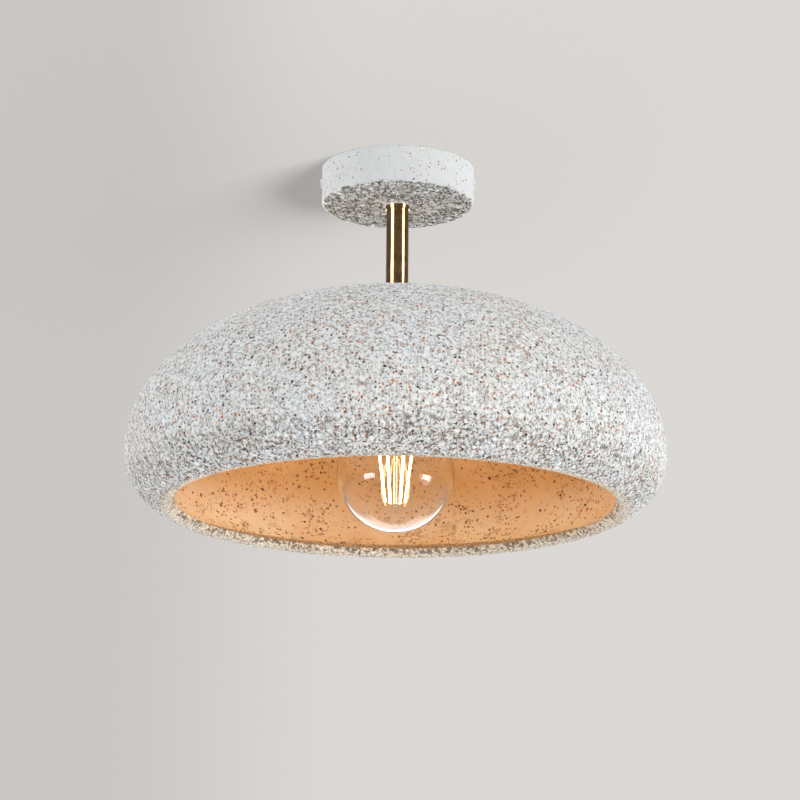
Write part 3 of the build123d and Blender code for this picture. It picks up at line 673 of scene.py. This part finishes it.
# Cast shade: crown, band and rolled lip outside, smooth inside
equator_z = outer_seat_z - crown_rise * (
    1 - (outer_seat_radius / shade_radius) ** crown_power
) ** (1 / crown_power)
band_centre = (shade_radius - band_radius, equator_z)
lip_centre_r = mouth_radius + lip_radius
lip_reach = band_radius - lip_radius
band_sweep = degrees(acos((lip_centre_r - band_centre[0]) / lip_reach))
lip_centre = (lip_centre_r, equator_z - sqrt(lip_reach**2 - (lip_centre_r - band_centre[0]) ** 2))
inner_band = band_radius - shade_wall
lip_turn = degrees(acos((inner_band**2 - lip_radius**2 - lip_reach**2) / (2 * lip_radius * lip_reach)))
outer_crown = crown(shade_radius, crown_rise, equator_z, outer_seat_radius, stone_pitch)
outer_band = arc(band_centre, band_radius, 0, -band_sweep, stone_pitch)
lip = arc(lip_centre, lip_radius, -band_sweep, -band_sweep - lip_turn, lip_pitch)
sandy = int(np.argmin(lip[:, 1])) - outward_sand  # the ring where the sandy stone begins
mouth = lip[-1]
mouth_angle = -degrees(acos((mouth[0] - band_centre[0]) / inner_band))
stone_end = mouth_angle + degrees(inward_stone / inner_band)
inward_band = arc(band_centre, inner_band, mouth_angle, stone_end, lip_pitch)
inside_band = arc(band_centre, inner_band, stone_end, 0, smooth_pitch)
inside_crown = crown(
    shade_radius - shade_wall, crown_rise - shade_wall, equator_z, inner_seat_radius, smooth_pitch
)[::-1]
inner_seat = inside_crown[-1]
top_flat = [outer_crown[0], (rod_hole_radius, outer_crown[0][1])]
bottom_flat = [inner_seat, (rod_hole_radius, inner_seat[1])]
hole = [bottom_flat[1], top_flat[1]]
cast_shade = turned(
    "cast_shade",
    [
        (outer_crown, 0, shade_relief),
        (outer_band, 0, shade_relief),
        (lip[: sandy + 1], 0, shade_relief),
        (lip[sandy:], 1, lip_relief),
        (inward_band, 1, lip_relief),
        (inside_band, 2, inside_relief),
        (inside_crown, 2, inside_relief),
        (walk(bottom_flat, smooth_pitch), 2, None),
        (walk(hole, smooth_pitch), 2, None),
        (walk(top_flat[::-1], smooth_pitch), 0, None),
    ],
)
for material in (outside_stone, lip_stone, shade_inside):
    cast_shade.data.materials.append(material)
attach(cast_shade, "fixture")
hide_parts("shade")

# Cast canopy: a cup with its rim on the ceiling
inner_radius = canopy_radius - canopy_wall
floor_z = canopy_floor - canopy_height
edge_z = canopy_edge_round - canopy_height
flat_radius = canopy_radius - canopy_edge_round
inner_flat = inner_radius - canopy_inner_round
inner_edge_z = floor_z + canopy_inner_round
canopy_outside = [
    walk([(canopy_radius, 0), (canopy_radius, edge_z)], fine_pitch),
    arc((flat_radius, edge_z), canopy_edge_round, 0, -90, fine_pitch),
    walk([(flat_radius, -canopy_height), (rod_hole_radius, -canopy_height)], fine_pitch),
]
canopy_inside = [
    walk([(rod_hole_radius, -canopy_height), (rod_hole_radius, floor_z)], smooth_pitch),
    walk([(rod_hole_radius, floor_z), (inner_flat, floor_z)], smooth_pitch),
    arc((inner_flat, inner_edge_z), canopy_inner_round, -90, 0, smooth_pitch),
    walk([(inner_radius, inner_edge_z), (inner_radius, 0)], smooth_pitch),
    walk([(inner_radius, 0), (canopy_radius, 0)], smooth_pitch),
]
cast_canopy = turned(
    "cast_canopy",
    [(points, 0, canopy_relief) for points in canopy_outside]
    + [(points, 0, None) for points in canopy_inside],
)
cast_canopy.data.materials.append(canopy_stone)
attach(cast_canopy, "fixture")
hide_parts("canopy")
cast_canopy.visible_glossy = False  # so that the stem's highlights run up to the collar


# Blown glass of the bulb
globe_end = -89.6  # degrees: just short of the axis, where the pole stays open by a hair
blend_z = globe_z + sqrt((globe_radius + neck_blend) ** 2 - (neck_radius + neck_blend) ** 2)
blend_turn = degrees(acos((neck_radius + neck_blend) / (globe_radius + neck_blend)))


def glass_outline(inset):
    """From the open top down to the lowest point, a distance inside the outer face."""
    shoulder_r = neck_radius - neck_shoulder
    shoulder_radius = neck_shoulder - inset
    root_radius = neck_root_radius - inset
    start = degrees(acos((root_radius - shoulder_r) / shoulder_radius))
    shoulder = arc((shoulder_r, blend_z), shoulder_radius, start, 0, glass_pitch)
    blend_centre = (neck_radius + neck_blend, blend_z)
    blend = arc(blend_centre, neck_blend + inset, 180, 180 + blend_turn, glass_pitch)
    globe = arc((0, globe_z), globe_radius - inset, blend_turn, globe_end, glass_pitch)
    root = walk([(root_radius, glass_top), shoulder[0]], glass_pitch)
    return [root, shoulder, blend, globe]


outer_glass = glass_outline(0)
inner_glass = [points[::-1] for points in reversed(glass_outline(glass_wall))]
glass_rim = [inner_glass[-1][-1], outer_glass[0][0]]
glass_parts = [*outer_glass, *inner_glass, walk(glass_rim, glass_wall)]
bulb_globe = turned("bulb_globe", [(points, 0, None) for points in glass_parts])
bulb_globe.data.materials.append(finishes["clear_glass"])
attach(bulb_globe, "bulb")
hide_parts("bulb_glass")
bulb_globe.visible_shadow = False
for name in ("bulb_glass_mount", "bulb_filaments", "bulb_supports"):
    frame["nodes"][name].visible_shadow = False

# Stage: the ceiling seen from below, and a floor far under it, seen from above
stage_half = 12.0
ceiling_z = 0.3 * mm
floor_height = -2.2


def plane(name, z, half, flip):
    mesh = bpy.data.meshes.new(name)
    corners = [(-half, -half, z), (half, -half, z), (half, half, z), (-half, half, z)]
    mesh.from_pydata(corners[::-1] if flip else corners, [], [(0, 1, 2, 3)])
    sheet = bpy.data.objects.new(name, mesh)
    bpy.context.scene.collection.objects.link(sheet)
    return sheet


def paint_material(name):
    """Matt paint on the side that faces the object, and nothing seen from the other side.

    Gives the material, its node tree and the socket that takes the colour.
    """
    material, tree = new_material(name)
    paint = add(tree, "BsdfDiffuse")
    clear = add(tree, "BsdfTransparent")
    back = add(tree, "NewGeometry").outputs["Backfacing"]
    mix = add(tree, "MixShader", {0: back, 1: paint.outputs[0], 2: clear.outputs[0]})
    output = add(tree, "OutputMaterial")
    tree.links.new(mix.outputs[0], output.inputs["Surface"])
    return material, tree, paint.inputs["Color"]


# Painted shade: the ceiling is a little darker to the left of a line that runs away from the front
ceiling_paint, tree, colour = paint_material("ceiling_paint")
parts = add(tree, "SeparateXYZ", {0: object_place(tree)})
ahead = maths(tree, "ADD", parts.outputs[1], 2.4)
slant = maths(tree, "DIVIDE", parts.outputs[0], ahead)
shaded_ceiling_tone = blended(tree, stretch(tree, slant, -0.1, -0.01), srgb(87, 86, 85), srgb(95, 94, 93))
tree.links.new(shaded_ceiling_tone, colour)
floor_paint, tree, colour = paint_material("floor_paint")
colour.default_value = srgb(214, 213, 211)

ceiling = plane("ceiling", ceiling_z, stage_half, True)
ceiling.data.materials.append(ceiling_paint)
floor = plane("floor", floor_height, stage_half, False)
floor.data.materials.append(floor_paint)
for sheet in (ceiling, floor):
    sheet.visible_diffuse = False
    sheet.visible_glossy = False
    sheet.visible_shadow = False

# Light


def sun(name, towards, strength, softness, colour):
    """Even light from that direction. softness is how wide its source looks, in degrees."""
    data = bpy.data.lights.new(name, "SUN")
    data.energy = strength
    data.angle = radians(softness)
    data.color = colour
    light = bpy.data.objects.new(name, data)
    light.rotation_euler = Vector(towards).to_track_quat("Z", "Y").to_euler()
    bpy.context.scene.collection.objects.link(light)
    return light


def only(light, receivers, blockers):
    """Let the light reach only the receivers, past only the blockers. None given means all."""
    for use, pieces in (("receiver_collection", receivers), ("blocker_collection", blockers)):
        if pieces:
            collection = bpy.data.collections.new(light.name + "_" + use)
            for piece in pieces:
                collection.objects.link(piece)
            setattr(light.light_linking, use, collection)
    return light


key_colour = (1.0, 0.99, 0.97)
pieces = [o for o in bpy.context.scene.objects if o.type == "MESH" and o not in (ceiling, floor)]
# Name, where the light comes from, strength, softness, what it reaches and what blocks it
suns = [
    ("key", (0.85, -0.42, -0.18), 0.74, 30, pieces, []),
    ("under_canopy", (0.05, -0.15, -1.0), 1.35, 60, [cast_canopy], [cast_canopy]),
    ("ceiling_key", (0.6, -0.72, -0.2), 34.2, 34, [ceiling], [cast_canopy]),
    ("ceiling_fill", (0.38, -0.78, -0.5), 17.3, 50, [ceiling], [floor]),
]
for name, towards, strength, softness, receivers, blockers in suns:
    only(sun(name, towards, strength, softness, key_colour), receivers, blockers)

glow = bpy.data.lights.new("bulb_glow", "POINT")
glow.energy = 0.158
glow.color = (1.0, 0.8, 0.56)
glow.shadow_soft_size = 16 * mm
glow_light = bpy.data.objects.new("bulb_glow", glow)
glow_light.location = (0, 0, globe_z + 5 * mm)
glow_light.visible_transmission = False
glow_light.visible_glossy = False
bpy.context.scene.collection.objects.link(glow_light)


tall_boxes = ((-54, 14), (65, 11))  # bearing from the front and half width, in degrees
box_edge = 5  # degrees over which a tall box fades out
box_strength = 19.0
low_box_strength = 3.6
mirror_level = 0.24  # what shiny faces see between the boxes


def studio_world():
    """Even pale surroundings. Shiny faces and glass see two tall soft boxes and a low one."""
    world = bpy.data.worlds.new("studio")
    world.use_nodes = True
    tree = world.node_tree
    tree.nodes.clear()
    way = add(tree, "TexCoord").outputs["Generated"]
    parts = add(tree, "SeparateXYZ", {0: way})
    right, back, height = parts.outputs
    # For matt faces: even round the sides, dimmer overhead, in front and from the lower left
    above = stretch(tree, height, 0.0, 0.6, 1.0, 0.71)
    level = maths(tree, "MULTIPLY", stretch(tree, height, -0.8, 0.05, 1.36, 1.22), above)
    level = maths(tree, "MULTIPLY", level, stretch(tree, back, -1.0, -0.3, 0.71, 1.0))
    low_left = maths(tree, "ADD", right, height)
    level = maths(tree, "MULTIPLY", level, stretch(tree, low_left, -1.4, -1.08, 0.3, 1.0))
    level = maths(tree, "MULTIPLY", level, stretch(tree, right, -1.0, 0.1, 1.13, 1.0))

    # For mirror faces and glass: the tall boxes end a little below the horizon
    bearing = maths(tree, "ARCTAN2", right, maths(tree, "MULTIPLY", back, -1.0))
    boxes = 0.0
    for middle, width in tall_boxes:
        off = maths(tree, "ABSOLUTE", maths(tree, "SUBTRACT", bearing, radians(middle)))
        box = stretch(tree, off, radians(width - box_edge), radians(width), 1.0, 0.0)
        boxes = maths(tree, "ADD", box, boxes)
    boxes = maths(tree, "MULTIPLY", boxes, stretch(tree, height, -0.32, -0.24))
    # The low box lies behind and below, and lights the globe's lower edge
    low_box = stretch(tree, height, -0.06, -0.14)
    low_box = maths(tree, "MULTIPLY", low_box, stretch(tree, height, -0.8, -0.72))
    low_box = maths(tree, "MULTIPLY", low_box, stretch(tree, back, 0.18, 0.26))
    off = maths(tree, "ABSOLUTE", right)
    low_box = maths(tree, "MULTIPLY", low_box, stretch(tree, off, 0.34, 0.6, 1.0, 0.0))
    tall = maths(tree, "MULTIPLY_ADD", boxes, box_strength, mirror_level)
    shiny = maths(tree, "MAXIMUM", tall, maths(tree, "MULTIPLY", low_box, low_box_strength))
    path = add(tree, "LightPath")
    mirror = maths(tree, "MAXIMUM", path.outputs["Is Glossy Ray"], path.outputs["Is Transmission Ray"])
    strength = add(tree, "Mix", {"Factor": mirror, "A": level, "B": shiny}).outputs[0]
    sky = add(tree, "Background", {"Color": (0.97, 0.985, 1.0, 1.0), "Strength": strength})
    output = add(tree, "OutputWorld")
    tree.links.new(sky.outputs[0], output.inputs["Surface"])
    bpy.context.scene.world = world


studio_world()

# Camera, as the photograph was taken: from below and in front
camera_place = (3.2 * mm, -2.404, -0.828)
camera_pitch = 14.74  # degrees up
camera_roll = 0.47
camera_lens = 138.5
camera = bpy.data.cameras.new("camera")
camera.lens = camera_lens
camera.sensor_width = 36
camera_object = bpy.data.objects.new("camera", camera)
camera_object.location = camera_place
camera_turn = Matrix.Rotation(radians(90 + camera_pitch), 3, "X")
camera_turn = camera_turn @ Matrix.Rotation(radians(camera_roll), 3, "Z")
camera_object.rotation_euler = camera_turn.to_euler()
bpy.context.scene.collection.objects.link(camera_object)
bpy.context.scene.camera = camera_object
bpy.context.scene.view_settings.view_transform = "Standard"
